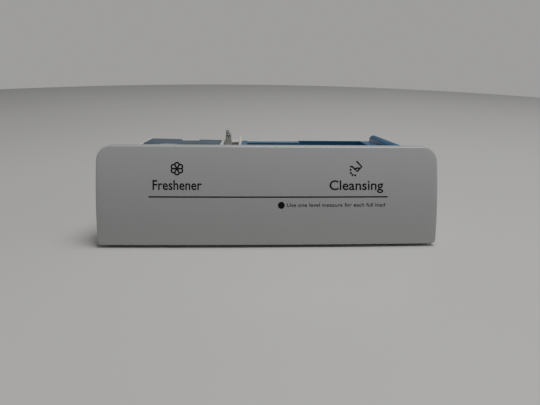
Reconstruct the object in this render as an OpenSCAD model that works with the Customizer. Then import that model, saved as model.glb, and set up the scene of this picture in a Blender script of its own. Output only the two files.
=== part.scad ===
// Detergent drawer of a front load washing machine, standing on its own base.
// X runs left to right seen from the front, Y runs into the machine, Z is up.
// Lengths called "back" are measured rearwards from the panel's lower lip.

/* [Panel] */
// Width of the front panel
panel_w = 270; // [255:1:290]
// Length of the curved face, measured along the curve from lip to top edge
face_len = 78.8; // [70:0.2:84]
// Backward lean of the face at its lower lip, in degrees
lean_low = 9; // [6:0.5:12]
// Backward lean of the face at its top edge, in degrees
lean_high = 27; // [22:0.5:30]
// Height of the lower lip above the surface that the drawer stands on
lip_z = 2.1; // [2:0.1:5]
// Radius of the panel's two upper corners
top_corner_r = 11; // [8:0.5:16]
// Radius of the panel's two lower corners
low_corner_r = 4; // [3:0.5:8]
// Wall thickness of the panel shell
panel_wall = 2.5; // [2:0.1:3]

/* [Tub] */
// Overall depth from the panel's lip to the tub's rear flange
drawer_d = 140; // [138:1:180]
// Depth of the panel at the plane where it meets the tub
panel_d = 35; // [34:0.5:40]
// Wall thickness of the tub
tub_wall = 2.2; // [1.8:0.1:2.6]
// Height of the tub's rim at the rear
rim_rear_z = 59.5; // [56:0.5:62]
// Fall of the rim and of the panel's top ledge towards the rear, in degrees
rim_slope = 5.3; // [4:0.1:6]
// Outer half width over the runner rails
runner_x = 125; // [124:0.5:127]

/* [Compartments] */
// Left side of the softener well
softener_x0 = -115.8; // [-118:0.2:-112]
// Right side of the softener well
softener_x1 = -43.4; // [-46:0.2:-43]
// Left side of the lever channel
channel_x0 = -41.8; // [-42:0.1:-41.6]
// Right side of the lever channel
channel_x1 = -25.8; // [-26:0.1:-25.6]
// Left side of the detergent well
detergent_x0 = -24.2; // [-24.4:0.2:-24]
// Right side of the detergent well
detergent_x1 = 119; // [117:0.2:120]
// Play of the lift-out pieces in their wells
play = 0.5; // [0.4:0.1:1]

/* [Lift-out pieces] */
// Wall thickness of the cover and of the insert
cup_wall = 2; // [1.6:0.1:2.4]
// Height of the insert's side rail above the rim
rail_rise = 4.8; // [4:0.2:6]
// Width of the insert's side rail
rail_w = 8.8; // [7:0.2:9.4]
// Depth of the insert's rear shelf, left of its step
rear_shelf = 9.5; // [8:0.5:16]
// Distance of that step right of the middle
shelf_x1 = 36; // [20:1:50]

/* [Release lever] */
// Height of the lever's pivot above the base
pivot_z = 50; // [48:0.5:52]
// Distance of the lever's pivot back from the lip
pivot_y = 88; // [84:1:92]
// Radius of the pivot pin
pin_r = 1.5; // [1.2:0.1:2]
// Height of the lever's head above the base
head_z = 71; // [70:0.1:72]

/* [Hidden] */
$fn = 64;

// The face is an arc that starts at the lip and leans further back towards the top.
face_r = face_len * 180 / (PI * (lean_high - lean_low));
face_cy = face_r * cos(lean_low);
face_cz = lip_z - face_r * sin(lean_low);
face_top_y = face_cy - face_r * cos(lean_high);
panel_top_z = face_cz + face_r * sin(lean_high);

// The tub's front plate closes the back of the panel shell.
plate_t = 2.5;
plate_y = panel_d - plate_t;
plate_gap = 0.4;
flange_w = 1.5;
flange_t = 1.8;
tub_rear_y = drawer_d - flange_w;
well_front_y = panel_d + 1;
well_rear_y = tub_rear_y - 2.3;
rim_y = 133;

// How far the rear wall's top lies under the rim: behind the softener well and the channel,
// and lower still behind the detergent well, as a weir
rear_dip = 1.5;
rim_flange = 0.6;
weir_dip = 2;
deck_y = 126;
deck_t = 1.6;
spike_t = 0.7;
spike_rise = 3.3;

// Floors of the three wells, front and rear
softener_floor = [28, 22];
detergent_floor = [6, 4];
channel_floor = 38;
floor_t = 2;
relief_y0 = panel_d + 3.5;
relief_y1 = tub_rear_y - 3.5;

// Self-tapping screws
screw_r = 1.45;
pilot_r = 1.5;
screw_hole_r = 2.1;
head_r = 3.4;
head_t = 1.9;
boss_r = 4;
screw_len = 10;
panel_screw_at = [[-126, 15], [126, 15], [-126, 64], [126, 64]];
handle_screw_x = 62;
handle_screw_y = 19;

// Rubber bumpers on the rear of the front plate
bumper_at = [[-127, 30], [127, 30], [-127, 50], [127, 50]];
bumper_r = 3.2;
bumper_stem_r = 1.6;

// Runner rails on the tub's sides
rail_z = 28;
rail_t = 4;
rail_y0 = 44;
strip_t = 1.5;

// Finger pocket behind the lower lip
pocket_hw = 56;
pocket_y0 = 8;
pocket_y1 = 27;
pocket_z = 36;
grip_wall = 2;

// Siphons
softener_pipe = [-100, 118];
softener_pipe_z = 44;
cap_seat_z = 50;
insert_pipe = [87, 66];
insert_pipe_z = 40;
insert_floor_z = 9.5;

// Insert: widths of its side rims, and heights of its tops above the rim
left_rim_w = 3.5;
right_rim_w = 19.2;
ledge_top = -1.5;
rear_top = -1.4;
shelf_top = -2.7;
rail_wall = 1.7;

// Cover
cover_y0 = 40;
cover_y1 = 133;
cover_step_y = 96;
cover_sink = 4.5;
cover_tilt = 1.1;
cover_left_rise = 0.5;
basin_in = 2.4;
riser_run = 3.5;
fill_x = [-100, -60];
fill_y = [53, 88];
fill_rim = 2;
scoop_x = [-87, -64.7];
scoop_y = 121;
scoop_angle = 7;
scoop_flare = 2.5;

// Lever
lever_x0 = channel_x0 + 0.4;
lever_post_x1 = -34.4;
lever_post_w = 5.4;
lever_x1 = channel_x1 - 1;
arm_wide_y = 111;
arm_t = 3;
arm_end_y = 132.5;
post_y0 = 122.5;
spring_y = 104;
spring_r = 3.2;
wire_r = 0.4;
spring_turns = 5;

function rim(y) = rim_rear_z + (rim_y - y) * tan(rim_slope);
function detergent_floor_at(y) = detergent_floor[0]
    + (detergent_floor[1] - detergent_floor[0]) * (y - well_front_y) / (well_rear_y - well_front_y);

// Puts a piece, drawn back from the lip, into the drawer's own centred frame.
module from_lip() {
    translate([0, -drawer_d / 2, 0]) children();
}

module block(x, y, z) {
    translate([x[0], y[0], z[0]]) cube([x[1] - x[0], y[1] - y[0], z[1] - z[0]]);
}

// Extrudes a front view (x, z) from y[0] to y[1].
module along_y(y) {
    translate([0, y[1], 0]) rotate([90, 0, 0]) linear_extrude(y[1] - y[0]) children();
}

// Extrudes a side view (y, z) from x[0] to x[1].
module along_x(x) {
    translate([x[0], 0, 0]) rotate([90, 0, 90]) linear_extrude(x[1] - x[0]) children();
}

// A bar whose top and bottom follow the rim's slope, drop[0] to drop[1] above it.
module rim_bar(x, y, drop) {
    along_x(x) polygon([[y[0], rim(y[0]) + drop[0]], [y[1], rim(y[1]) + drop[0]],
        [y[1], rim(y[1]) + drop[1]], [y[0], rim(y[0]) + drop[1]]]);
}

// A block with a level or sloping floor whose top follows the rim's slope.
module well(x, y, floor_z, rise) {
    along_x(x) polygon([[y[0], floor_z[0]], [y[1], floor_z[1]],
        [y[1], rim(y[1]) + rise], [y[0], rim(y[0]) + rise]]);
}

module tube_x(r, x, y, z) {
    translate([x[0], y, z]) rotate([0, 90, 0]) cylinder(r = r, h = x[1] - x[0]);
}

module tube_y(r, x, y, z) {
    translate([x, y[1], z]) rotate([90, 0, 0]) cylinder(r = r, h = y[1] - y[0]);
}

module tube_z(r, at, z) {
    translate([at[0], at[1], z[0]]) cylinder(r = r, h = z[1] - z[0]);
}

// ---- front panel and handle ----

// An upright bar, 2 * hw wide, from z = 0 up, with both its lower corners rounded.
module rounded_bar(hw, r, height) {
    translate([-hw, r]) square([2 * hw, height - r]);
    translate([r - hw, 0]) square([2 * (hw - r), r + 1]);
    for (s = [-1, 1]) translate([s * (hw - r), r]) circle(r);
}

// Everything behind the curved face, inset from it.
module behind_face(inset) {
    tube_x(face_r - inset, [-panel_w, panel_w], face_cy, face_cz, $fn = 256);
}

// The panel's outer form, inset on every side but the back. Its top falls towards the rear.
module panel_form(inset, rear) {
    hw = panel_w / 2 - inset;
    intersection() {
        along_y([-1, rear]) translate([0, lip_z + inset])
            rounded_bar(hw, max(low_corner_r - inset, 1), panel_top_z);
        translate([0, face_top_y, panel_top_z]) rotate([-rim_slope, 0, 0])
            along_y([-2 * panel_d, 2 * panel_d]) mirror([0, 1]) translate([0, inset])
            rounded_bar(hw, top_corner_r - inset, 2 * panel_top_z);
        behind_face(inset);
    }
}

module front_panel() {
    color([0.76, 0.77, 0.77])
    from_lip() difference() {
        union() {
            difference() {
                panel_form(0, panel_d);
                panel_form(panel_wall, panel_d + 1);
            }
            intersection() {
                panel_form(panel_wall / 2, plate_y);
                union() {
                    for (p = panel_screw_at) tube_y(boss_r, p[0], [0, plate_y], p[1]);
                }
            }
        }
        for (p = panel_screw_at) tube_y(pilot_r, p[0], [plate_y - screw_len, plate_y + 1], p[1]);
        block([-pocket_hw + 2, pocket_hw - 2], [pocket_y0, pocket_y1], [0, lip_z + panel_wall + 1]);
        for (s = [-1, 1]) tube_z(screw_hole_r, [s * handle_screw_x, handle_screw_y], [0, 8]);
    }
}

// A pocket that opens downwards behind the lip, with a flange on the panel's floor.
module handle_grip() {
    flange_z = lip_z + panel_wall;
    color([0.70, 0.71, 0.72])
    from_lip() difference() {
        intersection() {
            behind_face(panel_wall + plate_gap);
            union() {
                block([-pocket_hw, pocket_hw], [0, pocket_y1 + grip_wall], [flange_z, pocket_z]);
                block([-70, 70], [6, pocket_y1 + 5], [flange_z, flange_z + grip_wall]);
                for (s = [-1, 1])
                    tube_z(boss_r, [s * handle_screw_x, handle_screw_y], [flange_z, flange_z + 9]);
            }
        }
        intersection() {
            behind_face(panel_wall + plate_gap + grip_wall);
            block([grip_wall - pocket_hw, pocket_hw - grip_wall], [0, pocket_y1],
                [0, pocket_z - grip_wall]);
        }
        block([grip_wall - pocket_hw, pocket_hw - grip_wall], [pocket_y0, pocket_y1], [0, 12]);
        for (s = [-1, 1])
            tube_z(pilot_r, [s * handle_screw_x, handle_screw_y], [0, flange_z + 7]);
    }
}

// Pan head screw along +Z, with its head's seat at z = 0 and its head below.
module screw(length) {
    difference() {
        union() {
            cylinder(r = screw_r, h = length);
            translate([0, 0, -head_t]) rotate_extrude() union() {
                translate([0, head_t - 0.9]) square([head_r, 0.9]);
                translate([0, 0]) square([head_r - 0.9, head_t]);
                intersection() {
                    translate([head_r - 0.9, 0.9]) circle(0.9);
                    square([head_r, head_t]);
                }
            }
        }
        for (a = [0, 90]) rotate([0, 0, a])
            translate([-1.7, -0.35, -head_t - 1]) cube([3.4, 0.7, 2]);
    }
}

module panel_screws() {
    color([0.62, 0.63, 0.64])
    from_lip() for (p = panel_screw_at)
        translate([p[0], panel_d, p[1]]) rotate([90, 0, 0]) screw(screw_len);
}

module handle_screws() {
    color([0.62, 0.63, 0.64])
    from_lip() for (s = [-1, 1])
        translate([s * handle_screw_x, handle_screw_y, lip_z]) screw(7);
}

// Mushroom shaped rubber buttons pressed through the front plate.
module closing_bumpers() {
    color([0.25, 0.25, 0.26])
    from_lip() for (p = bumper_at)
        translate([p[0], panel_d, p[1]]) rotate([-90, 0, 0]) rotate_extrude() union() {
            square([bumper_r, 1.2]);
            intersection() {
                translate([0, -0.7]) circle(3.3);
                square([bumper_r, 3]);
            }
            translate([0, -plate_t]) square([bumper_stem_r - 0.02, plate_t + 0.5]);
        }
}

// ---- tub ----

module tub_body() {
    outer_x0 = softener_x0 - tub_wall;
    outer_x1 = detergent_x1 + tub_wall;
    difference() {
        well([outer_x0, outer_x1], [panel_d, tub_rear_y], [0, 0], 0);
        // The three wells
        well([softener_x0, softener_x1], [well_front_y, well_rear_y], softener_floor, 5);
        well([channel_x0, channel_x1], [well_front_y, well_rear_y], [channel_floor, channel_floor], 5);
        well([detergent_x0, detergent_x1], [well_front_y, well_rear_y], detergent_floor, 5);
        // The moulding's open undersides
        underside([softener_x0, softener_x1], softener_floor - [floor_t, floor_t]);
        underside([channel_x0, channel_x1], [channel_floor - floor_t, channel_floor - floor_t]);
        cell = (detergent_x1 - detergent_x0 - 3 * tub_wall) / 4;
        for (i = [0:3]) {
            x0 = detergent_x0 + i * (cell + tub_wall);
            underside([x0, x0 + cell], detergent_floor - [floor_t, floor_t]);
        }
        // The slot that the lever's catch hangs through
        block([channel_x0 + 3, channel_x1 - 3], [108, 122], [0, channel_floor + 1]);
        // The outlet that rinses detergent out at the rear
        block([20, 80], [well_rear_y - 1, tub_rear_y + 1], [detergent_floor[1], 14]);
    }
}

module underside(x, top_z) {
    along_x(x) polygon([[relief_y0, -1], [relief_y1, -1], [relief_y1, top_z[1]], [relief_y0, top_z[0]]]);
}

module tub_flanges() {
    // Rim flange along both sides and the rear
    left_x = softener_x0 - tub_wall - rim_flange;
    right_x = detergent_x1 + tub_wall + rim_flange;
    rim_bar([left_x, softener_x0 - 0.5], [panel_d, drawer_d], [-flange_t, 0]);
    rim_bar([detergent_x1 + 0.5, right_x], [panel_d, drawer_d], [-flange_t, 0]);
    rim_bar([left_x, right_x], [tub_rear_y - 1, drawer_d], [-flange_t - weir_dip, 0]);
    // Deck beside the lever, over the rear of the channel
    rim_bar([lever_post_x1 + 0.8, channel_x1 + 0.3], [deck_y, well_rear_y + 0.5],
        [-rear_dip - deck_t, -rear_dip]);
    // Runner rails
    block([-runner_x, softener_x0 - 0.5], [rail_y0, tub_rear_y], [rail_z, rail_z + rail_t]);
    block([detergent_x1 + 0.5, runner_x], [rail_y0, tub_rear_y], [rail_z, rail_z + rail_t]);
    // Seats that carry the cover
    rim_bar([softener_x0 - 0.5, softener_x0 + 1.6], [well_front_y, well_rear_y], [-5.2, -cup_wall - 0.4]);
    rim_bar([softener_x1 - 1.6, softener_x1 + 0.5], [well_front_y, well_rear_y], [-5.2, -cup_wall - 0.4]);
    // Seats that carry the insert
    for (x = [detergent_x0 + 6, detergent_x1 - 26], y = [54, 112])
        block([x, x + 20], [y, y + 3], [detergent_floor_at(y + 3) - 1, insert_floor_z - 0.35]);
    // Spike beside the lever that keys the tub in its housing
    along_x([channel_x1 + 0.2, channel_x1 + 0.2 + spike_t]) polygon([[128, rim(128) - 1],
        [well_rear_y + 1, rim(136) - 2], [well_rear_y + 1, rim(136) + spike_rise],
        [132.5, rim(132) + spike_rise]]);
}

module drawer_tub() {
    color([0.90, 0.90, 0.88])
    from_lip() difference() {
        union() {
            tub_body();
            tub_flanges();
            intersection() {
                panel_form(panel_wall + plate_gap, panel_d);
                block([-panel_w, panel_w], [plate_y, panel_d], [0, panel_top_z]);
            }
            tube_z(4, softener_pipe, [0, softener_pipe_z]);
        }
        for (p = panel_screw_at) tube_y(screw_hole_r, p[0], [plate_y - 1, panel_d + 1], p[1]);
        for (p = bumper_at) tube_y(bumper_stem_r, p[0], [plate_y - 1, panel_d + 1], p[1]);
        tube_z(2.6, softener_pipe, [-1, softener_pipe_z + 1]);
        tube_x(pin_r + 0.02, [channel_x0 - 1.3, channel_x1 + 1.2], pivot_y, pivot_z);
        // The rear wall dips behind the wells
        rim_bar([softener_x0, channel_x1], [well_rear_y - 1, drawer_d + 1], [-rear_dip, 6]);
        rim_bar([detergent_x0, detergent_x1], [well_rear_y - 1, drawer_d + 1], [-weir_dip, 6]);
    }
}

module left_runner_strip() {
    color([0.82, 0.83, 0.80])
    from_lip() block([-runner_x, softener_x0 - tub_wall], [rail_y0, tub_rear_y - 2],
        [rail_z - strip_t, rail_z]);
}

module right_runner_strip() {
    color([0.82, 0.83, 0.80])
    from_lip() block([detergent_x1 + tub_wall, runner_x], [rail_y0, tub_rear_y - 2],
        [rail_z - strip_t, rail_z]);
}

// ---- release lever ----

module release_lever() {
    color([0.88, 0.88, 0.86])
    from_lip() difference() {
        union() {
            tube_x(3.6, [channel_x0 + 1, channel_x1 - 1], pivot_y, pivot_z);
            block([lever_x0, lever_x1], [pivot_y, arm_wide_y], [pivot_z - 2, pivot_z - 2 + arm_t]);
            block([lever_x0, lever_post_x1], [pivot_y, arm_end_y], [pivot_z - 2, pivot_z - 2 + arm_t]);
            // Head: wide at its foot, narrow and upright at its top
            along_y([post_y0, arm_end_y]) polygon([[lever_x0, pivot_z], [lever_post_x1, pivot_z],
                [lever_post_x1, head_z - 4.6], [lever_post_x1 - 1.7, head_z - 3],
                [lever_post_x1 - 2.4, head_z], [lever_post_x1 - lever_post_w + 0.4, head_z],
                [lever_post_x1 - lever_post_w, head_z - 6], [lever_x0, head_z - 14]]);
            // Tail that rests on the channel's floor and stops the lever rising
            along_x([channel_x0 + 4, channel_x1 - 4]) polygon([[79, channel_floor + 0.4],
                [83, channel_floor + 0.4], [90, pivot_z - 1], [88, pivot_z + 2], [84, pivot_z]]);
            // Catch that holds against the housing's stop
            along_x([channel_x0 + 3.6, lever_post_x1]) polygon([[112, pivot_z - 1], [118, pivot_z - 1],
                [118, 31], [113.5, 31], [112, 34]]);
        }
        tube_x(pin_r + 0.06, [channel_x0, channel_x1], pivot_y, pivot_z);
        // Eye through the head
        tube_y(1.3, lever_post_x1 - 3.1, [post_y0 - 1, arm_end_y + 1], head_z - 5.8);
    }
}

module lever_pin() {
    color([0.70, 0.71, 0.72])
    from_lip() tube_x(pin_r, [channel_x0 - 1.2, channel_x1 + 1.1], pivot_y, pivot_z);
}

// Coil spring between the channel's floor and the lever's arm.
function coil_at(i, n, h) = let(a = 360 * spring_turns * i / n)
    [spring_r * cos(a), spring_r * sin(a), wire_r + (h - 2 * wire_r) * i / n];

module lever_spring() {
    height = pivot_z - 2 - channel_floor;
    n = 24 * spring_turns;
    sides = 8;
    points = [for (i = [0:n]) let(p = coil_at(i, n, height), a = 360 * spring_turns * i / n)
        for (k = [0:sides - 1]) let(b = 360 * k / sides)
            [p[0] + wire_r * cos(b) * cos(a), p[1] + wire_r * cos(b) * sin(a), p[2] + wire_r * sin(b)]];
    sides_faces = [for (i = [0:n - 1], k = [0:sides - 1]) let(j = (k + 1) % sides)
        [i * sides + k, i * sides + j, (i + 1) * sides + j, (i + 1) * sides + k]];
    ends = [[for (k = [sides - 1:-1:0]) k], [for (k = [0:sides - 1]) n * sides + k]];
    color([0.66, 0.67, 0.69])
    from_lip() translate([(channel_x0 + channel_x1) / 2, spring_y, channel_floor])
        polyhedron(points, concat(sides_faces, ends), convexity = 10);
}

// ---- softener cover ----

module softener_cover() {
    x0 = softener_x0 + play;
    x1 = softener_x1 - play;
    basin_x = [x0 + basin_in, x1 - basin_in];
    boss_z = cap_seat_z;
    color([0.33, 0.42, 0.53])
    from_lip() difference() {
        union() {
            // Raised rear plate, recessed front basin and the riser between them
            difference() {
                rim_bar([x0, x1], [cover_step_y, cover_y1], [-cup_wall, cover_left_rise]);
                // Its top falls to the right
                translate([x0, cover_step_y - 1, rim(cover_step_y - 1) + cover_left_rise])
                    rotate([-rim_slope, cover_tilt, 0]) translate([-5, -5, 0]) cube([100, 60, 10]);
            }
            rim_bar([scoop_x[0] - 1.5, scoop_x[1] + 1.5], [scoop_y - 2, cover_y1], [-4, -1.5]);
            rim_bar(basin_x, [cover_y0, cover_step_y + cup_wall], [-cup_wall - cover_sink, -cover_sink]);
            along_x(basin_x) polygon([[cover_step_y - riser_run, rim(cover_step_y) - cover_sink - 0.2],
                [cover_step_y + cup_wall, rim(cover_step_y) - cover_sink - 0.2],
                [cover_step_y + cup_wall, rim(cover_step_y) - 1], [cover_step_y, rim(cover_step_y) - 0.2]]);
            for (x = [basin_x[0], basin_x[1] - cup_wall])
                rim_bar([x, x + cup_wall], [cover_y0, cover_step_y + 1], [-cover_sink - 1, 0]);
            rim_bar(basin_x, [cover_y0, cover_y0 + cup_wall], [-cover_sink - 1, 0]);
            for (x = [x0, x1 - 3])
                rim_bar([x, x + 3], [cover_y0, cover_step_y + 1], [-cup_wall, 0]);
            // Stiffening skirt under the rear plate
            for (x = [x0 + 5, x1 - 6.5])
                rim_bar([x, x + 1.5], [cover_step_y + 1, cover_y1 - 6], [-7, -1]);
            // Ring round the fill opening
            rim_bar(fill_x + [-fill_rim, fill_rim], fill_y + [-fill_rim, fill_rim],
                [-cover_sink - 1, -cover_sink + 1.5]);
            tube_z(7, softener_pipe, [boss_z, rim(softener_pipe[1]) - 1]);
        }
        rim_bar(fill_x, fill_y, [-cover_sink - 4, 2]);
        tube_z(4.5, softener_pipe, [boss_z - 1, boss_z + 5]);
        // Finger scoop that deepens towards the rear edge
        translate([0, scoop_y, rim(scoop_y)]) rotate([-rim_slope - scoop_angle, 0, 0]) along_y([0, 20])
            polygon([[scoop_x[0] - scoop_flare, 3 * scoop_flare], [scoop_x[0] + scoop_flare, 0],
                [scoop_x[1] - scoop_flare, 0], [scoop_x[1] + scoop_flare, 3 * scoop_flare]]);
    }
}

// Bell that stands over the tub's drain pipe and plugs into the cover.
module softener_siphon_cap() {
    color([0.33, 0.42, 0.53])
    from_lip() difference() {
        union() {
            tube_z(8.5, softener_pipe, [27, cap_seat_z]);
            tube_z(4.45, softener_pipe, [cap_seat_z - 0.5, cap_seat_z + 4.5]);
        }
        tube_z(7, softener_pipe, [26, cap_seat_z - 2]);
        for (a = [0, 90]) translate([softener_pipe[0], softener_pipe[1], 27]) rotate([0, 0, a])
            translate([-10, -1.5, -1]) cube([20, 3, 4]);
    }
}

// ---- detergent insert ----

module detergent_insert() {
    x0 = detergent_x0 + play;
    x1 = detergent_x1 - play;
    y0 = well_front_y + play;
    y1 = well_rear_y - play;
    cup_x0 = x0 + left_rim_w;
    cup_x1 = x1 - right_rim_w;
    shelf_y = y1 - rear_shelf;
    deep_y = y1 - 4;
    cup_top = shelf_top - 0.3;
    color([0.13, 0.26, 0.42])
    from_lip() difference() {
        union() {
            difference() {
                union() {
                    insert_well([cup_x0, cup_x1 + cup_wall], [y0, shelf_y + cup_wall], 0, cup_top);
                    insert_well([shelf_x1 - cup_wall, cup_x1 + cup_wall], [shelf_y, deep_y + cup_wall], 0,
                        cup_top - 0.3);
                }
                insert_well([cup_x0 + cup_wall, cup_x1], [y0 + cup_wall, shelf_y], cup_wall, 5);
                insert_well([shelf_x1, cup_x1], [shelf_y - 1, deep_y], cup_wall, 6);
            }
            // Rims on the left, at the front and on the right, where they carry the rail
            difference() {
                union() {
                    rim_bar([x0, x1], [y0, y1 - 1], [shelf_top - 1, ledge_top]);
                    side_rail(x1 - 0.3, [y0 + 1, y1 - 1.5]);
                    // Skirt that runs beside the well's wall
                    rim_bar([x1 - rail_wall, x1], [y0, y1 - 1], [-12, shelf_top]);
                }
                block([cup_x0 + cup_wall, cup_x1], [y0 + cup_wall, drawer_d], [0, 2 * rim_rear_z]);
                rim_bar([x1 - rail_w + rail_wall - 0.3, x1 - rail_wall - 0.3], [y0 + 4, y1 - 4],
                    [shelf_top - 2, rail_rise - rail_w / 2]);
            }
            // Shelf behind the cup, and the higher rim right of the step
            rim_bar([cup_x0, shelf_x1], [shelf_y, y1], [shelf_top - cup_wall, shelf_top]);
            rim_bar([shelf_x1 - 1, cup_x1 + 1], [deep_y, y1 - 0.5], [shelf_top - 1.4, rear_top]);
            tube_z(3.5, insert_pipe, [insert_floor_z - 2.5, insert_pipe_z]);
        }
        tube_z(2.2, insert_pipe, [insert_floor_z - 3, insert_pipe_z + 1]);
    }
}

module insert_well(x, y, lift, rise) {
    well(x, y, [insert_floor_z + lift, insert_floor_z + lift], rise);
}

// Round topped rail to lift the insert by.
module side_rail(x1, y) {
    r = rail_w / 2;
    shaft = rail_rise - r - ledge_top;
    translate([x1 - r, y[1], rim(y[1]) + rail_rise - r])
        rotate([90 - rim_slope, 0, 0]) linear_extrude((y[1] - y[0]) / cos(rim_slope)) union() {
            circle(r);
            translate([-r, -shaft - 1.5]) square([rail_w, shaft + 1.5]);
        }
}

// Bell over the insert's drain pipe, with a fin to pull it by.
module insert_siphon_cap() {
    base = insert_floor_z + cup_wall + 0.3;
    top = insert_pipe_z + 6;
    color([0.13, 0.26, 0.42])
    from_lip() difference() {
        union() {
            tube_z(7.5, insert_pipe, [base, top]);
            block([insert_pipe[0] - 6, insert_pipe[0] + 6], [insert_pipe[1] - 0.9, insert_pipe[1] + 0.9],
                [top - 0.5, top + 7]);
        }
        tube_z(6, insert_pipe, [base - 1, top - 1.8]);
        for (a = [0, 90]) translate([insert_pipe[0], insert_pipe[1], base]) rotate([0, 0, a])
            translate([-9, -1.5, -1]) cube([18, 3, 4]);
    }
}

drawer_tub();
front_panel();
handle_grip();
panel_screws();
handle_screws();
closing_bumpers();
left_runner_strip();
right_runner_strip();
release_lever();
lever_pin();
lever_spring();
softener_cover();
softener_siphon_cap();
detergent_insert();
insert_siphon_cap();
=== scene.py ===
"""Looks for the detergent drawer of a front load washing machine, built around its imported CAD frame.

X runs left to right seen from the front, Y runs into the machine, Z is up. All lengths are in metres.
"""

import math

import bmesh
import bpy
from mathutils import Matrix, Vector


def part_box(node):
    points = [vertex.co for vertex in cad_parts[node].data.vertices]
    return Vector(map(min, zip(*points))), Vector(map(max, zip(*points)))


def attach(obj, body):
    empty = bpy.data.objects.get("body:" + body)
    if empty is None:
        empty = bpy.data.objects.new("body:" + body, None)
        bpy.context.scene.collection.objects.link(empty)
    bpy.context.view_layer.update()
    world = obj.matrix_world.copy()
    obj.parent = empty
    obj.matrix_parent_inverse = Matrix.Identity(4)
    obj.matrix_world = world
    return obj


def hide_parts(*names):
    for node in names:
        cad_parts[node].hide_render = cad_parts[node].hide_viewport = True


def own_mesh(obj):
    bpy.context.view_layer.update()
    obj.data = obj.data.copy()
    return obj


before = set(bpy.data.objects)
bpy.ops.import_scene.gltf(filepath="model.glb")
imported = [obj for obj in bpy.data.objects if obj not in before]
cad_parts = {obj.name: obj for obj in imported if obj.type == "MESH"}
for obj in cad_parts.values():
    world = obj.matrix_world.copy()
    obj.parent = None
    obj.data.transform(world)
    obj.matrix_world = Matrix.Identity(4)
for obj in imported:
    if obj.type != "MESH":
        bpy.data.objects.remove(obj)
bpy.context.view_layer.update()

MM = 0.001
FLAT_ANGLE = math.radians(0.2)
FLAT_COS = math.cos(FLAT_ANGLE)

# The curved face: an arc from the lip to the top edge, leaning back more towards the top.
LEAN_LOW = math.radians(9)
LEAN_HIGH = math.radians(27)
LEDGE_FALL = math.radians(5.3)
FACE_BOW = 1.4 * MM
TOP_CORNER = 11 * MM
LOW_CORNER = 3.2 * MM
EDGE_ROUND = 1.1 * MM
REAR_CHAMFER = 0.3 * MM
PANEL_WALL = 2.5 * MM

# The finger opening and the two screw holes in the panel's floor.
POCKET_FRONT = 8 * MM
POCKET_REAR = 27 * MM
GRIP_FLANGE = 16 * MM
OPENING_CORNER = 3 * MM
SCREW_HEAD_R = 3.4 * MM
SCREW_HOLE_R = 2.1 * MM
SCREW_HOLE_CORNER = 2.09 * MM

PANEL_LOW, PANEL_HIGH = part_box("front_panel")
HALF_W = PANEL_HIGH.x
LIP_Y = PANEL_LOW.y
REAR_Y = PANEL_HIGH.y
LIP_Z = PANEL_LOW.z
TOP_Z = PANEL_HIGH.z
FACE_R = (TOP_Z - LIP_Z) / (math.sin(LEAN_HIGH) - math.sin(LEAN_LOW))
FACE_CY = LIP_Y + FACE_R * math.cos(LEAN_LOW)
FACE_CZ = LIP_Z - FACE_R * math.sin(LEAN_LOW)
FACE_TOP_Y = FACE_CY - FACE_R * math.cos(LEAN_HIGH)


# ---- materials ----


def new_material(name):
    material = bpy.data.materials.new(name)
    material.use_nodes = True
    nodes = material.node_tree.nodes
    shader = nodes["Principled BSDF"]
    return material, nodes, material.node_tree.links, shader


def noise(nodes, links, coord, scale, detail=3.0, roughness=0.5, stretch=None):
    """A noise texture in object space, stretched where stretch is given; returns its value output."""
    texture = nodes.new("ShaderNodeTexNoise")
    texture.inputs["Scale"].default_value = scale
    texture.inputs["Detail"].default_value = detail
    texture.inputs["Roughness"].default_value = roughness
    source = coord.outputs["Object"]
    if stretch is not None:
        mapping = nodes.new("ShaderNodeMapping")
        mapping.inputs["Scale"].default_value = stretch
        links.new(source, mapping.inputs["Vector"])
        source = mapping.outputs["Vector"]
    links.new(source, texture.inputs["Vector"])
    return texture.outputs["Fac"]


def ramp(nodes, links, value, low, high, at=(0.3, 0.7)):
    """Maps a value from at[0]..at[1] onto low..high."""
    remap = nodes.new("ShaderNodeMapRange")
    remap.inputs["From Min"].default_value = at[0]
    remap.inputs["From Max"].default_value = at[1]
    remap.inputs["To Min"].default_value = low
    remap.inputs["To Max"].default_value = high
    links.new(value, remap.inputs["Value"])
    return remap.outputs["Result"]


def blend_colours(nodes, links, value, first, second):
    mix = nodes.new("ShaderNodeMix")
    mix.data_type = "RGBA"
    mix.inputs["A"].default_value = (*first, 1)
    mix.inputs["B"].default_value = (*second, 1)
    links.new(value, mix.inputs["Factor"])
    return mix.outputs["Result"]


def bump(nodes, links, shader, height, strength, distance, under=None):
    node = nodes.new("ShaderNodeBump")
    node.inputs["Strength"].default_value = strength
    node.inputs["Distance"].default_value = distance
    links.new(height, node.inputs["Height"])
    if under is not None:
        links.new(under, node.inputs["Normal"])
    links.new(node.outputs["Normal"], shader.inputs["Normal"])
    return node.outputs["Normal"]


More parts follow.
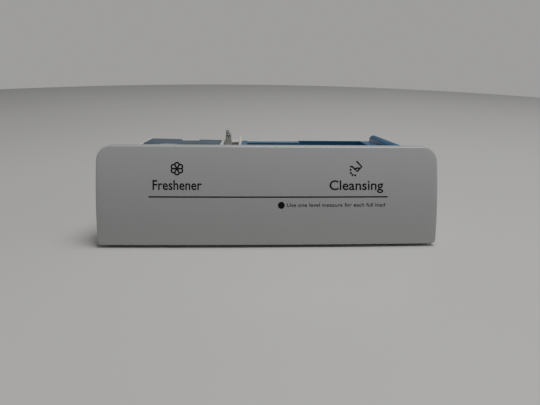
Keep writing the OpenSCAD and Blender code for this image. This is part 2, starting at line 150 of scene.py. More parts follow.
def moulded(name, colour, rough, grain=0.15, tint=0.05, soft=0.0, coat=0.0, wave=0.12):
    """Injection moulded plastic: faint cloudy tone, uneven gloss, a fine grain and long flow ripples."""
    material, nodes, links, shader = new_material(name)
    coord = nodes.new("ShaderNodeTexCoord")
    cloud = noise(nodes, links, coord, 22.0, 4.0)
    light = [min(1, c * (1 + tint)) for c in colour]
    dark = [c * (1 - tint) for c in colour]
    tone = ramp(nodes, links, cloud, 0.0, 1.0)
    links.new(blend_colours(nodes, links, tone, dark, light), shader.inputs["Base Color"])
    smear = noise(nodes, links, coord, 60.0, 5.0, 0.6, (1.0, 0.35, 1.0))
    links.new(ramp(nodes, links, smear, rough - 0.05, rough + 0.07), shader.inputs["Roughness"])
    ripple = noise(nodes, links, coord, 35.0, 2.0, 0.4, (0.5, 1.0, 1.0))
    under = bump(nodes, links, shader, ripple, wave, 0.4 * MM)
    fine = noise(nodes, links, coord, 5200.0, 2.0)
    bump(nodes, links, shader, fine, grain, 0.06 * MM, under)
    if soft:
        shader.inputs["Subsurface Weight"].default_value = soft
        shader.inputs["Subsurface Scale"].default_value = 1.5 * MM
        shader.inputs["Subsurface Radius"].default_value = (1.0, 0.9, 0.8)
    if coat:
        shader.inputs["Coat Weight"].default_value = coat
        shader.inputs["Coat Roughness"].default_value = 0.12
    return material


def steel(name, colour, rough, scale, stretch):
    """Zinc plated or drawn steel with fine brushed streaks."""
    material, nodes, links, shader = new_material(name)
    coord = nodes.new("ShaderNodeTexCoord")
    streak = noise(nodes, links, coord, scale, 4.0, 0.6, stretch)
    dark = [c * 0.82 for c in colour]
    tone = ramp(nodes, links, streak, 0.0, 1.0)
    links.new(blend_colours(nodes, links, tone, dark, colour), shader.inputs["Base Color"])
    links.new(ramp(nodes, links, streak, rough - 0.06, rough + 0.1), shader.inputs["Roughness"])
    bump(nodes, links, shader, streak, 0.2, 0.03 * MM)
    shader.inputs["Metallic"].default_value = 1.0
    return material


def rubber(name, colour):
    material, nodes, links, shader = new_material(name)
    coord = nodes.new("ShaderNodeTexCoord")
    cloud = noise(nodes, links, coord, 180.0, 4.0)
    tone = ramp(nodes, links, cloud, 0.0, 1.0)
    light = [c * 1.35 for c in colour]
    links.new(blend_colours(nodes, links, tone, colour, light), shader.inputs["Base Color"])
    links.new(ramp(nodes, links, cloud, 0.6, 0.8), shader.inputs["Roughness"])
    fine = noise(nodes, links, coord, 3800.0, 2.0)
    bump(nodes, links, shader, fine, 0.3, 0.08 * MM)
    return material


def printed_ink(name, colour):
    """Screen printed ink: dense, slightly uneven and duller than the plastic."""
    material, nodes, links, shader = new_material(name)
    coord = nodes.new("ShaderNodeTexCoord")
    cloud = noise(nodes, links, coord, 900.0, 3.0)
    tone = ramp(nodes, links, cloud, 0.0, 1.0)
    light = [c * 1.6 for c in colour]
    links.new(blend_colours(nodes, links, tone, colour, light), shader.inputs["Base Color"])
    links.new(ramp(nodes, links, cloud, 0.55, 0.68), shader.inputs["Roughness"])
    shader.inputs["Specular IOR Level"].default_value = 0.2
    bump(nodes, links, shader, cloud, 0.15, 0.02 * MM)
    return material


def make_materials():
    return {
        "panel": moulded("panel_gloss", (0.44, 0.45, 0.445), 0.34, grain=0.05, tint=0.006, coat=0.2,
                         wave=0.03),
        "tub": moulded("tub_white", (0.74, 0.74, 0.71), 0.40, grain=0.16, tint=0.02, soft=0.12),
        "grip": moulded("grip_grey", (0.42, 0.43, 0.44), 0.45, grain=0.25, tint=0.03),
        "lever": moulded("lever_white", (0.44, 0.44, 0.42), 0.42, grain=0.12, tint=0.02, soft=0.1),
        "strip": moulded("strip_natural", (0.62, 0.63, 0.58), 0.34, grain=0.08, tint=0.03, soft=0.2),
        "cover": moulded("cover_blue", (0.088, 0.122, 0.172), 0.34, grain=0.2, tint=0.05, soft=0.06),
        "insert": moulded("insert_blue", (0.045, 0.135, 0.255), 0.26, grain=0.08, tint=0.05, soft=0.06),
        "screw": steel("screw_zinc", (0.62, 0.63, 0.65), 0.32, 900.0, (1.0, 1.0, 1.0)),
        "spring": steel("spring_wire", (0.55, 0.56, 0.58), 0.28, 1500.0, (1.0, 1.0, 0.3)),
        "pin": steel("pin_ground", (0.60, 0.61, 0.63), 0.22, 1200.0, (0.1, 1.0, 1.0)),
        "rubber": rubber("bumper_black", (0.018, 0.018, 0.019)),
        "ink": printed_ink("ink_black", (0.007, 0.007, 0.008)),
    }


# ---- mesh helpers ----

# A hole is cut through a corner that lies within this share of its width from its middle.
NEAR_MIDDLE = 0.2
# Cuts stay further apart than this share of a hole's width.
CUT_SPACING = 0.325
SEAM_SNAP = 0.04 * MM


def link_mesh(name, mesh, material):
    obj = bpy.data.objects.new(name, mesh)
    bpy.context.scene.collection.objects.link(obj)
    obj.data.materials.clear()
    obj.data.materials.append(material)
    return obj


def mesh_from(name, points, faces):
    mesh = bpy.data.meshes.new(name)
    mesh.from_pydata([tuple(p) for p in points], [], faces)
    mesh.validate()
    return mesh


def shade(obj, sharp_deg=35):
    for polygon in obj.data.polygons:
        polygon.use_smooth = True
    obj.data.set_sharp_from_angle(angle=math.radians(sharp_deg))
    return obj


def apply_modifiers(obj):
    """Bakes an object's modifiers into its mesh."""
    graph = bpy.context.evaluated_depsgraph_get()
    final = bpy.data.meshes.new_from_object(obj.evaluated_get(graph))
    obj.modifiers.clear()
    obj.data = final
    return obj


def place(obj, body, slot, *nodes):
    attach(obj, body)
    if nodes:
        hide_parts(*nodes)
    return obj


def cut(obj, cutter):
    """Takes the cutter's volume out of obj, and deletes the cutter."""
    step = obj.modifiers.new("cut", "BOOLEAN")
    step.operation = "DIFFERENCE"
    step.solver = "EXACT"
    step.object = cutter
    apply_modifiers(obj)
    bpy.data.objects.remove(cutter)
    return obj


def unique(items):
    """The items without repeats, in the order that they come in, so that each run goes the same way."""
    return list(dict.fromkeys(items))


def flat_regions(work):
    """Groups the faces that lie in one plane side by side: face index -> region, and the regions."""
    region_of, regions = {}, []
    for seed in work.faces:
        if seed.index in region_of:
            continue
        region, queue = [], [seed]
        region_of[seed.index] = len(regions)
        while queue:
            face = queue.pop()
            region.append(face)
            for edge in face.edges:
                for other in edge.link_faces:
                    if other.index in region_of:
                        continue
                    if face.normal.dot(other.normal) > FLAT_COS:
                        region_of[other.index] = len(regions)
                        queue.append(other)
        regions.append(region)
    return region_of, regions


def boundary_loops(region, region_of):
    """The closed loops of vertices that bound a flat region, largest first."""
    own = region_of[region[0].index]
    rim = dict.fromkeys(e for f in region for e in f.edges
                        if any(region_of[o.index] != own for o in e.link_faces))
    loops = []
    while rim:
        queue, verts = [rim.popitem()[0]], []
        while queue:
            edge = queue.pop()
            for v in edge.verts:
                verts.append(v)
                near = [e for e in v.link_edges if e in rim]
                for e in near:
                    del rim[e]
                queue += near
        loops.append(unique(verts))
    return sorted(loops, key=lambda verts: -spread(verts).length)


def spread(verts):
    low = Vector([min(v.co[i] for v in verts) for i in range(3)])
    high = Vector([max(v.co[i] for v in verts) for i in range(3)])
    return high - low


def middle(verts):
    low = Vector([min(v.co[i] for v in verts) for i in range(3)])
    high = Vector([max(v.co[i] for v in verts) for i in range(3)])
    return (high + low) / 2


def cut_point(loop, axis):
    """Where to cut across a hole: through one of its own corners if one is near its middle."""
    centre = middle(loop)
    nearest = min(loop, key=lambda v: abs((v.co - centre).dot(axis)))
    if abs((nearest.co - centre).dot(axis)) < NEAR_MIDDLE * abs(spread(loop).dot(axis)):
        return nearest.co.copy()
    return centre


def split_holes(work):
    """Cuts each flat region that has holes along lines through them, so that it becomes plain polygons."""
    work.faces.ensure_lookup_table()
    work.faces.index_update()
    region_of, regions = flat_regions(work)
    jobs = []
    for region in regions:
        loops = boundary_loops(region, region_of)
        if len(loops) < 2:
            continue
        normal = region[0].normal
        axis = Vector((1, 0, 0)) if abs(normal.x) < 0.7 else Vector((0, 1, 0))
        at = []
        for loop in loops[1:]:
            centre = cut_point(loop, axis)
            reach = CUT_SPACING * abs(spread(loop).dot(axis))
            if all(abs((centre - c).dot(axis)) > reach for c in at):
                at.append(centre)
        jobs.append((region, axis, at))
    for faces, axis, at in jobs:
        for centre in at:
            geom = faces + unique(e for f in faces for e in f.edges)
            geom += unique(v for f in faces for v in f.verts)
            result = bmesh.ops.bisect_plane(work, geom=geom, plane_co=centre, plane_no=axis,
                                            dist=SEAM_SNAP)
            for item in result["geom_cut"]:
                if isinstance(item, bmesh.types.BMEdge):
                    item.seam = True
            faces = [f for f in faces if f.is_valid]
            faces = unique(faces + [f for f in result["geom"] if isinstance(f, bmesh.types.BMFace)])


# ---- rounding of moulded edges ----

# Edges whose directions differ by less than this sine follow each other in a line.
IN_LINE = 0.35
# Shares of a gap that a bevel may take, where the far edge is bevelled too and where it isn't.
SHARED_ROOM = 0.42
FREE_ROOM = 0.8
# How much wider a bevel may be than the one that it follows.
WIDENING = 1.3
EVEN_PASSES = 8
WELD = 0.002 * MM
# A polygon is folded where its triangles cover more than its own area, by this share and area.
FOLD_SHARE = 1.01
FOLD_AREA = 1e-9
# Bevels this near a folded polygon are made narrower, and in the last tries left out.
FOLD_MARGIN = 0.3 * MM
TRIES = 6
NARROWING_TRIES = 3
NARROWING = 0.6


def gap_to_edge(point, edge):
    """The vector from an edge's nearest point to a point."""
    a, b = edge.verts[0].co, edge.verts[1].co
    along = b - a
    t = max(0.0, min(1.0, (point - a).dot(along) / max(along.length_squared, 1e-18)))
    return point - a - along * t


def edge_room(edge, sharp):
    """How wide a bevel of edge may be before it meets a neighbour's bevel or the far side of its faces."""
    room = 1.0
    along = (edge.verts[1].co - edge.verts[0].co).normalized()
    for vertex in edge.verts:
        for other in vertex.link_edges:
            if other is edge:
                continue
            away = (other.other_vert(vertex).co - vertex.co).normalized()
            across = along.cross(away).length
            if across < IN_LINE:
                continue
            share = SHARED_ROOM if other in sharp else FREE_ROOM
            room = min(room, share * other.calc_length() * across)
    for face in edge.link_faces:
        for other in face.edges:
            if other is edge or set(other.verts) & set(edge.verts):
                continue
            share = SHARED_ROOM if other in sharp else FREE_ROOM
            gaps = [gap_to_edge(v.co, edge) for v in other.verts]
            gaps += [gap_to_edge(v.co, other) for v in edge.verts]
            for gap in gaps:
                if along.cross(gap).length > IN_LINE * gap.length:
                    room = min(room, gap.length * share)
    return room


def even_out(sharp, weight):
    """Keeps a bevel's width from jumping between edges that follow each other in a line."""
    for _ in range(EVEN_PASSES):
        for edge in sharp:
            for vertex in edge.verts:
                for other in vertex.link_edges:
                    if other is not edge and other in sharp:
                        edge[weight] = min(edge[weight], WIDENING * other[weight])


def clean_copy(node):
    """A CAD node's mesh, welded and with its flat regions joined into plain polygons."""
    work = bmesh.new()
    work.from_mesh(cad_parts[node].data)
    bmesh.ops.remove_doubles(work, verts=work.verts, dist=WELD)
    bmesh.ops.dissolve_degenerate(work, edges=work.edges, dist=WELD)
    for edge in work.edges:
        edge.seam = False
    split_holes(work)
    bmesh.ops.dissolve_limit(work, angle_limit=FLAT_ANGLE, verts=work.verts, edges=work.edges,
                             delimit={"SEAM"})
    work.normal_update()
    return work


def folded_places(mesh):
    """Boxes round the polygons that a bevel has folded over themselves."""
    mesh.calc_loop_triangles()
    covered = {}
    for triangle in mesh.loop_triangles:
        covered[triangle.polygon_index] = covered.get(triangle.polygon_index, 0) + triangle.area
    boxes = []
    for polygon in mesh.polygons:
        if covered.get(polygon.index, 0) > FOLD_SHARE * polygon.area + FOLD_AREA:
            corners = [mesh.vertices[i].co for i in polygon.vertices]
            boxes.append([[min(c[i] for c in corners) for i in range(3)],
                          [max(c[i] for c in corners) for i in range(3)]])
    return boxes


def inside(point, box, margin):
    return all(box[0][i] - margin < point[i] < box[1][i] + margin for i in range(3))


def softened(node, name, material, width, sharp_deg=28, segments=2):
    """A copy of a CAD node with every moulded edge rounded, by less where there is little room."""
    work = clean_copy(node)
    weight = work.edges.layers.float.new("bevel_weight_edge")
    sharp = dict.fromkeys(e for e in work.edges if len(e.link_faces) == 2
                          and e.calc_face_angle(0) > math.radians(sharp_deg))
    for edge in sharp:
        edge[weight] = min(1.0, edge_room(edge, sharp) / width)
    even_out(sharp, weight)
    obj = link_mesh(name, bpy.data.meshes.new(name), material)
    for attempt in range(TRIES):
        mesh = bpy.data.meshes.new(name)
        work.to_mesh(mesh)
        mesh.materials.append(material)
        obj.data = mesh
        bevel = obj.modifiers.new("rounding", "BEVEL")
        bevel.limit_method = "WEIGHT"
        bevel.width = width
        bevel.segments = segments
        bevel.use_clamp_overlap = False
        apply_modifiers(obj)
        folded = folded_places(obj.data)
        if not folded:
            break
        for edge in sharp:
            if any(inside(v.co, box, FOLD_MARGIN) for v in edge.verts for box in folded):
                edge[weight] *= NARROWING if attempt < NARROWING_TRIES else 0.0
    work.free()
    return shade(obj)


# ---- front panel ----


def face_y(x, z, inset=0.0):
    """Y of the face, inset from its surface, at (x, z). Its ends are set back a little from its middle."""
    reach = (FACE_R - inset) ** 2 - (z - FACE_CZ) ** 2
    return FACE_CY - math.sqrt(reach) + FACE_BOW * (x / HALF_W) ** 2


def hit_face(x, start, heading, inset, depth):
    """The point where a line in the plane of x meets the face, then depth further back along it."""
    s = 0.0
    for _ in range(12):
        y = start[0] + s * heading[0]
        z = start[1] + s * heading[1]
        s += (face_y(x, z, inset) - y) / heading[0]
    s += depth
    return Vector((x, start[0] + s * heading[0], start[1] + s * heading[1]))


def hit_rear(x, start, heading, rear):
    s = (rear - start[0]) / heading[0]
    return Vector((x, rear, start[1] + s * heading[1]))


def panel_rows(inset, corner_steps=8, mid_steps=14):
    """Rows of the panel's outline from bottom to top: half width, a start (y, z) and a heading (y, z).
    Low rows run straight back, and the top ones fall with the ledge."""
    half = HALF_W - inset
    low_r = max(LOW_CORNER - inset, 0.8 * MM)
    top_r = TOP_CORNER - inset
    rows = []
    for i in range(corner_steps + 1):
        a = math.pi / 2 * i / corner_steps
        z = LIP_Z + inset + low_r * (1 - math.cos(a))
        rows.append((half - low_r * (1 - math.sin(a)), (REAR_Y, z), (1.0, 0.0)))
    low_z = LIP_Z + inset + low_r
    fall = (math.cos(LEDGE_FALL), -math.sin(LEDGE_FALL))
    drop = (-math.sin(LEDGE_FALL), -math.cos(LEDGE_FALL))

    def below_ledge(h):
        return (FACE_TOP_Y + h * drop[0], TOP_Z + h * drop[1])

    high = below_ledge(inset + top_r)
    for i in range(1, mid_steps):
        t = i / mid_steps
        angle = -LEDGE_FALL * t
        start = (FACE_TOP_Y + (high[0] - FACE_TOP_Y) * t, low_z + (high[1] - low_z) * t)
        rows.append((half, start, (math.cos(angle), math.sin(angle))))
    for i in range(corner_steps + 1):
        a = math.pi / 2 * i / corner_steps
        start = below_ledge(inset + top_r * (1 - math.sin(a)))
        rows.append((half - top_r * (1 - math.cos(a)), start, fall))
    return rows


COLUMNS = 40


def column_x(half, j):
    return half * (2 * j / COLUMNS - 1)


def outline(rows):
    """The outline's points as (x, start, heading), once round: bottom, right, top, left."""
    top = len(rows) - 1
    loop = [(column_x(rows[0][0], j), rows[0][1], rows[0][2]) for j in range(COLUMNS + 1)]
    loop += [(rows[i][0], rows[i][1], rows[i][2]) for i in range(1, top)]
    loop += [(column_x(rows[top][0], j), rows[top][1], rows[top][2]) for j in range(COLUMNS, -1, -1)]
    loop += [(-rows[i][0], rows[i][1], rows[i][2]) for i in range(top - 1, 0, -1)]
    return loop


def panel_skin(points, faces, rings, inset, face_inset, flip):
    """Adds rings of points, each given as (inset, depth or None), and a face grid in the last one."""
    loops = []
    for ring_inset, depth in rings:
        ring = []
        for x, start, heading in outline(panel_rows(inset + ring_inset)):
            if depth is None:
                point = hit_rear(x, start, heading, REAR_Y)
            else:
                point = hit_face(x, start, heading, face_inset, depth)
            ring.append(len(points))
            points.append(point)
        loops.append(ring)
    count = len(loops[0])
    for a, b in zip(loops, loops[1:]):
        for k in range(count):
            n = (k + 1) % count
            quad = [a[k], a[n], b[n], b[k]]
            faces.append(quad[::-1] if flip else quad)
    rows = panel_rows(inset + rings[-1][0])
    last = loops[-1]
    top = len(rows) - 1
    grid = []
    for i, (half, start, heading) in enumerate(rows):
        if i == 0:
            grid.append(last[:COLUMNS + 1])
            continue
        if i == top:
            grid.append(last[COLUMNS + top:2 * COLUMNS + top + 1][::-1])
            continue
        right = last[COLUMNS + i]
        left = last[2 * COLUMNS + 2 * top - i]
        line = [left]
        for j in range(1, COLUMNS):
            line.append(len(points))
            points.append(hit_face(column_x(half, j), start, heading, face_inset, 0.0))
        grid.append(line + [right])
    for i in range(top):
        for j in range(COLUMNS):
            quad = [grid[i][j], grid[i][j + 1], grid[i + 1][j + 1], grid[i + 1][j]]
            faces.append(quad[::-1] if flip else quad)
    return loops[0]


def rounded_cutter(name, x, y, z, r):
    """A plain block with rounded upright corners, used to cut an opening."""
    points, steps = [], 6
    corners = [(x[1] - r, y[1] - r, 0), (x[0] + r, y[1] - r, 90),
               (x[0] + r, y[0] + r, 180), (x[1] - r, y[0] + r, 270)]
    for cx, cy, turn in corners:
        for i in range(steps + 1):
            a = math.radians(turn + 90 * i / steps)
            points.append((cx + r * math.cos(a), cy + r * math.sin(a)))
    n = len(points)
    verts = [(px, py, z[0]) for px, py in points] + [(px, py, z[1]) for px, py in points]
    faces = [list(range(n - 1, -1, -1)), list(range(n, 2 * n))]
    faces += [[k, (k + 1) % n, n + (k + 1) % n, n + k] for k in range(n)]
    obj = bpy.data.objects.new(name, mesh_from(name, verts, faces))
    bpy.context.scene.collection.objects.link(obj)
    return obj


def build_panel(material):
    """The panel as a shell: rounded outer skin, inner skin, and the rim between them at the rear."""
    points, faces = [], []
    steps = 6
    rings = [(REAR_CHAMFER, None)]
    for i in range(steps + 1):
        a = math.pi / 2 * i / steps
        rings.append((EDGE_ROUND * (1 - math.cos(a)), EDGE_ROUND * (1 - math.sin(a))))
    outer = panel_skin(points, faces, rings, 0.0, 0.0, False)
    inner = panel_skin(points, faces, [(0.0, None), (0.0, 0.0)], PANEL_WALL, PANEL_WALL, True)
    count = len(outer)
    for k in range(count):
        n = (k + 1) % count
        faces.append([outer[n], outer[k], inner[k], inner[n]])
    obj = link_mesh("front_panel_shell", mesh_from("front_panel_shell", points, faces), material)
    grip_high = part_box("handle_grip")[1]
    screws_low, screws_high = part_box("handle_screws")
    opening_x = grip_high.x - GRIP_FLANGE
    opening_y = (LIP_Y + POCKET_FRONT, LIP_Y + POCKET_REAR)
    through = (LIP_Z - 5 * MM, LIP_Z + PANEL_WALL + 1 * MM)
    cut(obj, rounded_cutter("opening", (-opening_x, opening_x), opening_y, through, OPENING_CORNER))
    screw_y = (screws_low.y + screws_high.y) / 2
    for x in (screws_low.x + SCREW_HEAD_R, screws_high.x - SCREW_HEAD_R):
        hole_x = (x - SCREW_HOLE_R, x + SCREW_HOLE_R)
        hole_y = (screw_y - SCREW_HOLE_R, screw_y + SCREW_HOLE_R)
        cut(obj, rounded_cutter("hole", hole_x, hole_y, through, SCREW_HOLE_CORNER))
    shade(obj, 30)
    return place(obj, "drawer", "panel_plastic", "front_panel")


# ---- printing on the face ----

# The ink is a film that stands a little proud of the face and sinks a little into it.
INK_LIFT = 0.05 * MM
INK_SINK = -0.03 * MM
# Height of a capital of Blender's own font at size 1, and how near its doubled points lie.
FONT_CAP = 0.73
FONT_WELD = 1e-5


def on_face(x, down, lift):
    """A point down the face from its top edge, lifted off its surface."""
    a = LEAN_HIGH - down / FACE_R
    r = FACE_R + lift
    return Vector((x, FACE_CY - r * math.cos(a) + FACE_BOW * (x / HALF_W) ** 2, FACE_CZ + r * math.sin(a)))


def print_outline(name, loops, material):
    """Prints flat closed shapes, given as lists of (x, down) loops, each as a thin film."""
    points, faces = [], []
    for loop in loops:
        base = len(points)
        n = len(loop)
        points += [on_face(x, d, INK_LIFT) for x, d in loop]
        points += [on_face(x, d, INK_SINK) for x, d in loop]
        faces.append([base + k for k in range(n)])
        faces.append([base + n + k for k in range(n - 1, -1, -1)])
        faces += [[base + (k + 1) % n, base + k, base + n + k, base + n + (k + 1) % n] for k in range(n)]
    mesh = mesh_from(name, points, faces)
    tidy_normals(mesh)
    obj = link_mesh(name, mesh, material)
    return place(obj, "drawer", "panel_plastic")


def tidy_normals(mesh):
    work = bmesh.new()
    work.from_mesh(mesh)
    bmesh.ops.recalc_face_normals(work, faces=work.faces)
    work.to_mesh(mesh)
    work.free()


def stroke(path, width):
    """Quads that follow a path of (x, down) points as a pen of that width."""
    sides = []
    last = len(path) - 1
    for k, (x, down) in enumerate(path):
        before, after = path[max(k - 1, 0)], path[min(k + 1, last)]
        dx, dy = after[0] - before[0], after[1] - before[1]
        size = math.hypot(dx, dy)
        nx, ny = -dy / size * width / 2, dx / size * width / 2
        sides.append(((x + nx, down + ny), (x - nx, down - ny)))
    return [[a[0], a[1], b[1], b[0]] for a, b in zip(sides, sides[1:])]


def dot(x, down, r, sides=16):
    return [(x + r * math.cos(2 * math.pi * k / sides), down + r * math.sin(2 * math.pi * k / sides))
            for k in range(sides)]


def print_strokes(name, strokes, material):
    """Prints pen strokes and dots as one piece of film."""
    loops = [quad for s in strokes for quad in s]
    return print_outline(name, loops, material)


def print_text(name, words, span, baseline, cap, weight, material):
    """Sets words in Blender's own font across span[0] to span[1], with capitals of height cap."""
    curve = bpy.data.curves.new(name, "FONT")
    curve.body = words
    curve.size = 1.0
    curve.resolution_u = 4
    curve.extrude = 0.01
    curve.offset = weight
    flat = bpy.data.objects.new(name, curve)
    bpy.context.scene.collection.objects.link(flat)
    bpy.context.view_layer.update()
    mesh = bpy.data.meshes.new_from_object(flat)
    bpy.data.objects.remove(flat)
    weld(mesh)
    xs = [v.co.x for v in mesh.vertices]
    wide = (span[1] - span[0]) / (max(xs) - min(xs))
    for v in mesh.vertices:
        lift = INK_LIFT if v.co.z > 0 else INK_SINK
        v.co = on_face(span[0] + (v.co.x - min(xs)) * wide, baseline - v.co.y * cap / FONT_CAP, lift)
    obj = link_mesh(name, mesh, material)
    return place(obj, "drawer", "panel_plastic")


def weld(mesh):
    work = bmesh.new()
    work.from_mesh(mesh)
    bmesh.ops.remove_doubles(work, verts=work.verts, dist=FONT_WELD)
    work.to_mesh(mesh)
    work.free()


def flower_strokes(cx, cy, r, pen):
    """Six petals: spokes from the centre, joined by round arcs outside them."""
    strokes = []
    petals, steps = 6, 14
    hub = r * 0.74
    bulge = hub * math.sin(math.pi / petals)
    for i in range(petals):
        spoke = 2 * math.pi * i / petals
        strokes.append(stroke([(cx, cy), (cx + hub * math.cos(spoke), cy + hub * math.sin(spoke))], pen))
        mid = spoke + math.pi / petals
        ox = cx + hub * math.cos(math.pi / petals) * math.cos(mid)
        oy = cy + hub * math.cos(math.pi / petals) * math.sin(mid)
        arc = []
        for k in range(steps + 1):
            turn = mid + math.radians(105) * (2 * k / steps - 1)
            arc.append((ox + bulge * math.cos(turn), oy + bulge * math.sin(turn)))
        strokes.append(stroke(arc, pen))
    strokes.append([dot(cx, cy, r * 0.2)])
    return strokes


def cup_strokes(cx, cy, size, pen):
    """A tilted measuring cup with grains falling out of it."""
    def at(u, v):
        return (cx + u * size, cy - v * size)
    cup = [at(0.35, 1.0), at(1.0, 0.3), at(0.42, -0.3), at(0.1, 0.02)]
    surface = [at(-0.5, 0.32), at(-0.2, 0.3), at(0.1, 0.02), at(0.4, 0.12), at(0.82, 0.1)]
    strokes = [stroke(cup, pen), stroke(surface, pen)]
    for u, v in ((-0.42, -0.1), (-0.4, -0.5), (-0.18, -0.75), (0.16, -0.78)):
        x, y = at(u, v)
        strokes.append([dot(x, y, pen * 0.65)])
    return strokes


def build_print(material):
    """Two icons and words over a long rule, and a note below it. All the words are generic."""
    rule_x, rule_down, rule_pen, steps = (-94.2 * MM, 94.0 * MM), 40.2 * MM, 1.0 * MM, 40
    rule = [(rule_x[0] + (rule_x[1] - rule_x[0]) * k / steps, rule_down) for k in range(steps + 1)]
    print_strokes("print_line", [stroke(rule, rule_pen)], material)
    print_strokes("print_flower", flower_strokes(-72.2 * MM, 18.1 * MM, 4.7 * MM, 1.15 * MM), material)
    print_strokes("print_cup", cup_strokes(66.9 * MM, 18.1 * MM, 6.3 * MM, 1.3 * MM), material)
    print_strokes("print_bullet", [[dot(9.2 * MM, 46.7 * MM, 2.7 * MM, 40)]], material)
    words = [
        ("print_left_word", "Freshener", (-91.0 * MM, -53.0 * MM), 34.6 * MM, 7.9 * MM, 0.012),
        ("print_right_word", "Cleansing", (47.3 * MM, 90.4 * MM), 34.6 * MM, 7.9 * MM, 0.012),
        ("print_note", "Use one level measure for each full load", (13.6 * MM, 92.0 * MM), 47.9 * MM,
         3.1 * MM, 0.004),
    ]
    for name, text, span, baseline, cap, weight in words:
        print_text(name, text, span, baseline, cap, weight, material)


# ---- the other pieces ----


def build_pieces(materials):
    """The moulded and turned pieces: node, body, slot, material, and the width of its rounding in mm."""
    plan = [
        ("drawer_tub", "drawer", "tub_plastic", "tub", 0.55),
        ("handle_grip", "drawer", "grip_plastic", "grip", 0.5),
        ("panel_screws", "drawer", "screw_steel", "screw", 0.15),
        ("handle_screws", "drawer", "screw_steel", "screw", 0.15),
        ("closing_bumpers", "drawer", "bumper_rubber", "rubber", 0.25),
        ("left_runner_strip", "drawer", "strip_plastic", "strip", 0.35),
        ("right_runner_strip", "drawer", "strip_plastic", "strip", 0.35),
        ("release_lever", "lever", "lever_plastic", "lever", 0.5),
        ("lever_pin", "drawer", "screw_steel", "pin", 0.25),
        ("softener_cover", "cover", "cover_plastic", "cover", 0.5),
        ("softener_siphon_cap", "cover", "cover_plastic", "cover", 0.45),
        ("detergent_insert", "insert", "insert_plastic", "insert", 0.5),
        ("insert_siphon_cap", "insert_cap", "insert_plastic", "insert", 0.4),
    ]
    for node, body, slot, material, width in plan:
        obj = softened(node, node + "_moulding", materials[material], width * MM)
        place(obj, body, slot, node)


def build_spring(material):
    """The lever's coil spring: round wire with closed ends, between the channel's floor and the arm."""
    low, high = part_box("lever_spring")
    wire = 0.4 * MM
    mid = (low + high) / 2
    r = (high.x - low.x) / 2 - wire
    turns, closed, per_turn, sides = 6.5, 0.75, 28, 10
    steps = int(turns * per_turn)
    points, faces = [], []
    for i in range(steps + 1):
        t = i / steps
        a = 2 * math.pi * turns * t
        climb = min(1, max(0, (t * turns - closed) / (turns - 2 * closed)))
        z = low.z + wire + (high.z - low.z - 2 * wire) * climb
        for k in range(sides):
            b = 2 * math.pi * k / sides
            reach = r + wire * math.cos(b)
            rise = wire * math.sin(b)
            points.append((mid.x + reach * math.cos(a), mid.y + reach * math.sin(a), z + rise))
    for i in range(steps):
        for k in range(sides):
            j = (k + 1) % sides
            faces.append([i * sides + k, i * sides + j, (i + 1) * sides + j, (i + 1) * sides + k])
    faces.append(list(range(sides))[::-1])
    faces.append([steps * sides + k for k in range(sides)])
    mesh = mesh_from("lever_spring_wire", points, faces)
    tidy_normals(mesh)
    obj = shade(link_mesh("lever_spring_wire", mesh, material), 50)
    place(obj, "drawer", "spring_steel", "lever_spring")
    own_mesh(obj)


# ---- stage, light and camera ----

FLOOR_R = 1.4
FLOOR_SIDES = 160
CAMERA_AT = (-0.0150, -0.3824, 0.15245)
CAMERA_LENS = 28.96
CAMERA_HEADING = math.radians(-2.73)
CAMERA_PITCH = math.radians(20.04)
CAMERA_ROLL = math.radians(0.88)


def build_stage():
    floor = link_mesh("floor", disc_mesh("floor", FLOOR_R, FLOOR_SIDES), floor_material())
    world = bpy.data.worlds.new("studio")
    bpy.context.scene.world = world
    world.use_nodes = True
    light_the_world(world.node_tree)
    add_light("overhead", (0.35, 0.05, 1.6), (0, 0, 0), 1.0, 19.5)
    add_light("right_fill", (1.6, -0.2, 0.6), (0, 0, 0), 1.8, 4.2)


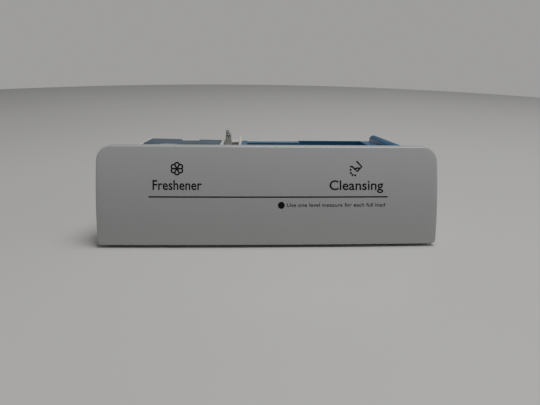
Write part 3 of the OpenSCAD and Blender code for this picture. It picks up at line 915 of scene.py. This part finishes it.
def light_the_world(tree):
    """An even pale room: its walls look a little lighter than the light that they give."""
    background = tree.nodes["Background"]
    background.inputs["Color"].default_value = (0.86, 0.87, 0.88, 1)
    background.inputs["Strength"].default_value = 0.16
    seen = tree.nodes.new("ShaderNodeBackground")
    seen.inputs["Color"].default_value = (0.88, 0.87, 0.85, 1)
    seen.inputs["Strength"].default_value = 0.44
    rays = tree.nodes.new("ShaderNodeLightPath")
    mix = tree.nodes.new("ShaderNodeMixShader")
    tree.links.new(rays.outputs["Is Camera Ray"], mix.inputs[0])
    tree.links.new(background.outputs[0], mix.inputs[1])
    tree.links.new(seen.outputs[0], mix.inputs[2])
    tree.links.new(mix.outputs[0], tree.nodes["World Output"].inputs["Surface"])


def disc_mesh(name, radius, sides):
    points = [(0, 0, 0)]
    points += [(radius * math.cos(2 * math.pi * k / sides), radius * math.sin(2 * math.pi * k / sides), 0)
               for k in range(sides)]
    return mesh_from(name, points, [[0, 1 + k, 1 + (k + 1) % sides] for k in range(sides)])


def floor_material():
    material, nodes, links, shader = new_material("pale_floor")
    coord = nodes.new("ShaderNodeTexCoord")
    cloud = noise(nodes, links, coord, 3.0, 3.0)
    tone = ramp(nodes, links, cloud, 0.0, 1.0)
    colours = blend_colours(nodes, links, tone, (0.63, 0.62, 0.595), (0.65, 0.64, 0.612))
    links.new(colours, shader.inputs["Base Color"])
    shader.inputs["Roughness"].default_value = 0.28
    return material


def add_light(name, position, target, size, power):
    data = bpy.data.lights.new(name, "AREA")
    data.shape = "DISK"
    data.size = size
    data.energy = power
    light = bpy.data.objects.new(name, data)
    bpy.context.scene.collection.objects.link(light)
    light.location = position
    light.rotation_euler = (Vector(target) - Vector(position)).to_track_quat("-Z", "Y").to_euler()
    return light


def build_camera():
    data = bpy.data.cameras.new("camera")
    data.lens = CAMERA_LENS
    data.sensor_width = 36
    data.clip_start = 0.01
    camera = bpy.data.objects.new("camera", data)
    bpy.context.scene.collection.objects.link(camera)
    turn = Matrix.Rotation(CAMERA_HEADING, 4, "Z") @ Matrix.Rotation(math.pi / 2 - CAMERA_PITCH, 4, "X")
    turn = turn @ Matrix.Rotation(CAMERA_ROLL, 4, "Z")
    camera.matrix_world = Matrix.Translation(CAMERA_AT) @ turn
    bpy.context.scene.camera = camera


materials = make_materials()
build_panel(materials["panel"])
build_print(materials["ink"])
build_pieces(materials)
build_spring(materials["spring"])
build_stage()
build_camera()
